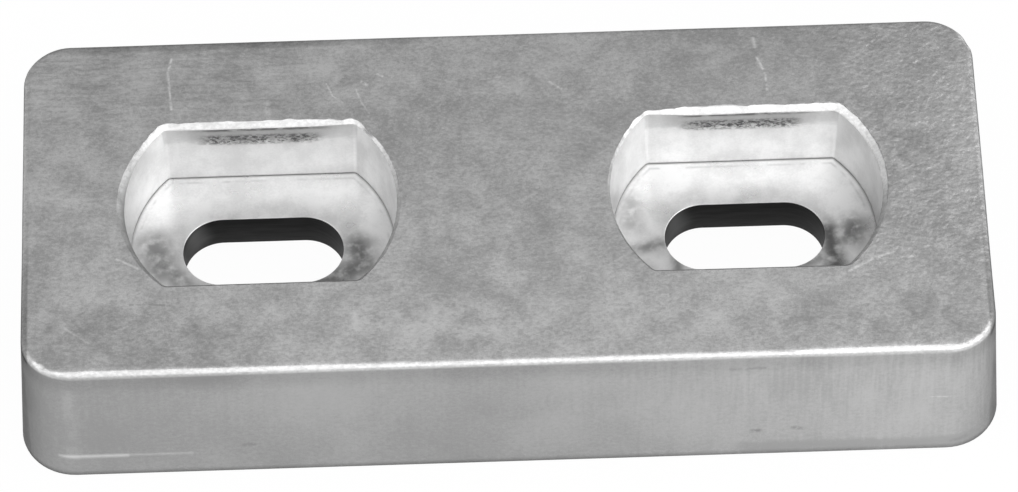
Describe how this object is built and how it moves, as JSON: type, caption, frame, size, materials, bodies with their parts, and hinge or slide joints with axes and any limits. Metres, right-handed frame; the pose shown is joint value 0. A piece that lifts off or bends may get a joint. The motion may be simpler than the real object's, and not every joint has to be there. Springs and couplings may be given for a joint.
{
  "type": "sacrificial anode",
  "caption": "Rectangular bolt-on block anode for a hull: cast zinc round a steel bar, with drafted sides and double-D recesses over slotted bolt holes.",
  "frame": {"origin": "middle of the flat base that lies on the hull", "axes": "+X along the block, +Z out from the hull through the recesses"},
  "size_m": [0.1536, 0.0668, 0.0254],
  "materials": {
    "cast_zinc": "as-cast light grey zinc, dressed edges",
    "galvanised_steel": "bright galvanised faces, dark bare slot walls"
  },
  "bodies": {
    "root": {"anode_casting": "cast_zinc", "insert_bar": "galvanised_steel"}
  },
  "joints": []
}
